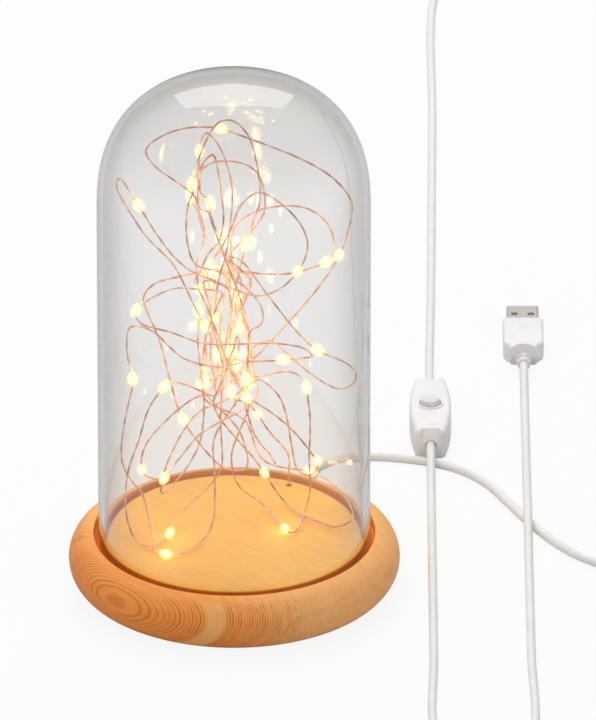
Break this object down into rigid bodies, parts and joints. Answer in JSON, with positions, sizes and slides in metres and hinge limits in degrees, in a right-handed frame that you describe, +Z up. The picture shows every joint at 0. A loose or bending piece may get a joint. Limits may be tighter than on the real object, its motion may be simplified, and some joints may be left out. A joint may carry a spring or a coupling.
{
  "type": "led glass cloche",
  "caption": "Clear glass dome on a turned wooden base, with a string of tiny LED drops gathered inside and a USB lead with an in-line push switch.",
  "frame": {"origin": "on the table, under the middle of the round base", "axes": "+Z up along the dome's axis, -Y the front that the picture shows, +X to its right; the lead leaves the back"},
  "size_m": [0.2206, 0.6751, 0.2],
  "materials": {
    "glass": "clear, polished",
    "wood": "turned softwood, satin oil, honey colour",
    "fibreboard": "bare hardboard",
    "rubber": "matt",
    "steel": "zinc plated",
    "white_plastic": "white, soft sheen",
    "grey_plastic": "very light grey, soft sheen",
    "white_cord": "white soft PVC",
    "grommet_rubber": "white, matt",
    "dark_plastic": "matt",
    "resistor": "lacquered ceramic",
    "copper_wire": "lacquered copper wire with clear resin drops",
    "nickel": "bright nickel",
    "gold": "gold plated"
  },
  "bodies": {
    "base": {"wood_base": "wood", "base_cover": "fibreboard", "foot_pad_1": "rubber", "foot_pad_2": "rubber", "foot_pad_3": "rubber", "foot_pad_4": "rubber", "cover_screw_1": "steel", "cover_screw_2": "steel", "cover_screw_3": "steel", "clip_screw": "steel", "switch_screw_1": "steel", "switch_screw_2": "steel", "button_spring": "steel", "cord_clip": "white_plastic", "switch_lower_shell": "white_plastic", "switch_upper_shell": "white_plastic", "plug_strain_relief": "white_plastic", "plug_body": "white_plastic", "plug_tongue": "white_plastic", "lead_tail": "white_cord", "cord_base_to_switch": "white_cord", "cord_switch_to_plug": "white_cord", "cord_grommet": "grommet_rubber", "splice_sleeve_1": "dark_plastic", "splice_sleeve_2": "dark_plastic", "switch_contact_block": "dark_plastic", "series_resistor": "resistor", "string_lead": "copper_wire", "light_string": "copper_wire", "plug_shell": "nickel", "plug_contact_1": "gold", "plug_contact_2": "gold", "plug_contact_3": "gold", "plug_contact_4": "gold"},
    "dome": {"glass_dome": "glass"},
    "button": {"switch_button": "grey_plastic"}
  },
  "joints": [
    {"name": "dome_lift", "type": "slide", "parent": "base", "child": "dome", "axis": [0, 0, 1], "range_m": [0, 0.19]},
    {"name": "button_press", "type": "slide", "parent": "base", "child": "button", "axis": [0, 0, -1], "range_m": [0, 0.0015], "stiffness_N_per_m": 800, "springref_m": -0.0004, "deforming": ["button_spring"]}
  ]
}
